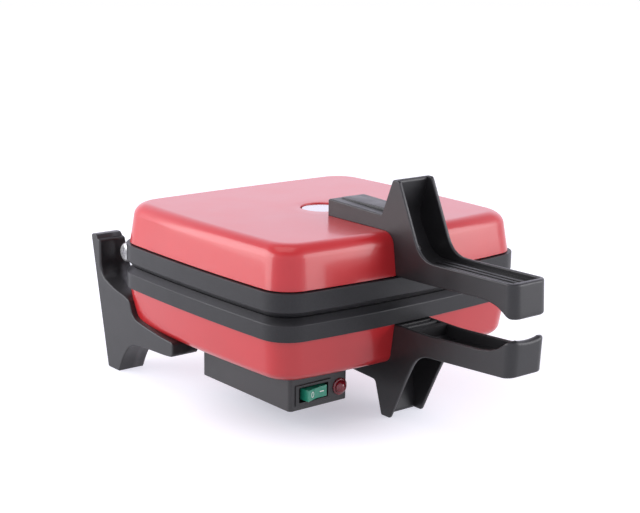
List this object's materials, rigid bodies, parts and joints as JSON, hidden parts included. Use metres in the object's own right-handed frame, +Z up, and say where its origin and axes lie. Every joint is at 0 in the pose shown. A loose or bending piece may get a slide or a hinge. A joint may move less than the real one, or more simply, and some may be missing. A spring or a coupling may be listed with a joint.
{
  "type": "double waffle maker",
  "caption": "Hinged waffle iron: red domed lid and base on two cast plates, moulded front handles, rear legs, and a switch box with a rocker and lamp.",
  "frame": {"origin": "under the middle of the whole box, on the surface that the three feet stand on", "axes": "+X right as seen from the front, -Y to the front where the handles are, +Z up"},
  "size_m": [0.2484, 0.3804, 0.1822],
  "materials": {
    "red_enamel": "glossy enamel",
    "cast_coated": "satin non-stick",
    "heater_sheath": "annealed",
    "zinc_steel": "zinc plated",
    "bright_disc": "polished",
    "bakelite": "satin",
    "thermostat_body": "satin",
    "hinge_zinc": "zinc plated",
    "bush_brass": "turned",
    "box_moulding": "satin",
    "switch_black": "semi-gloss",
    "rocker_green": "translucent",
    "lens_red": "translucent",
    "neon_glass": "clear",
    "terminal_nylon": "natural",
    "bush_rubber": "matt"
  },
  "bodies": {
    "base": {"control_box": "box_moulding", "control_box_cover": "box_moulding", "control_box_screws": "zinc_steel", "cord_bush": "bush_rubber", "cover_screws": "zinc_steel", "hinge_nuts": "hinge_zinc", "hinge_screw_left": "hinge_zinc", "hinge_screw_right": "hinge_zinc", "hinge_washers": "hinge_zinc", "indicator_lamp": "neon_glass", "indicator_lens": "lens_red", "leg_screws": "zinc_steel", "lower_element_straps": "zinc_steel", "lower_handle": "bakelite", "lower_handle_screws": "zinc_steel", "lower_heating_element": "heater_sheath", "lower_hinge_lugs": "cast_coated", "lower_plate": "cast_coated", "lower_shell": "red_enamel", "lower_strap_screws": "zinc_steel", "lower_stud": "zinc_steel", "rear_leg_left": "bakelite", "rear_leg_right": "bakelite", "spacer_sleeves": "zinc_steel", "switch_housing": "switch_black", "terminal_block": "terminal_nylon", "thermal_fuse": "zinc_steel", "thermostat": "thermostat_body"},
    "lid": {"upper_element_straps": "zinc_steel", "upper_handle": "bakelite", "upper_handle_screws": "zinc_steel", "upper_heating_element": "heater_sheath", "upper_hinge_lugs": "cast_coated", "upper_plate": "cast_coated", "upper_shell": "red_enamel", "upper_strap_screws": "zinc_steel", "upper_stud": "zinc_steel", "cover_disc": "bright_disc", "hinge_bushes": "bush_brass"},
    "rocker": {"switch_rocker": "rocker_green"}
  },
  "joints": [
    {"name": "lid_hinge", "type": "hinge", "parent": "base", "child": "lid", "pos_m": [0, 0.16575, 0.095], "axis": [-1, 0, 0], "range_deg": [0, 80]},
    {"name": "rocker_swing", "type": "hinge", "parent": "base", "child": "rocker", "pos_m": [-0.077, -0.04775, 0.0278], "axis": [0, 0, -1], "range_deg": [0, 20]}
  ]
}
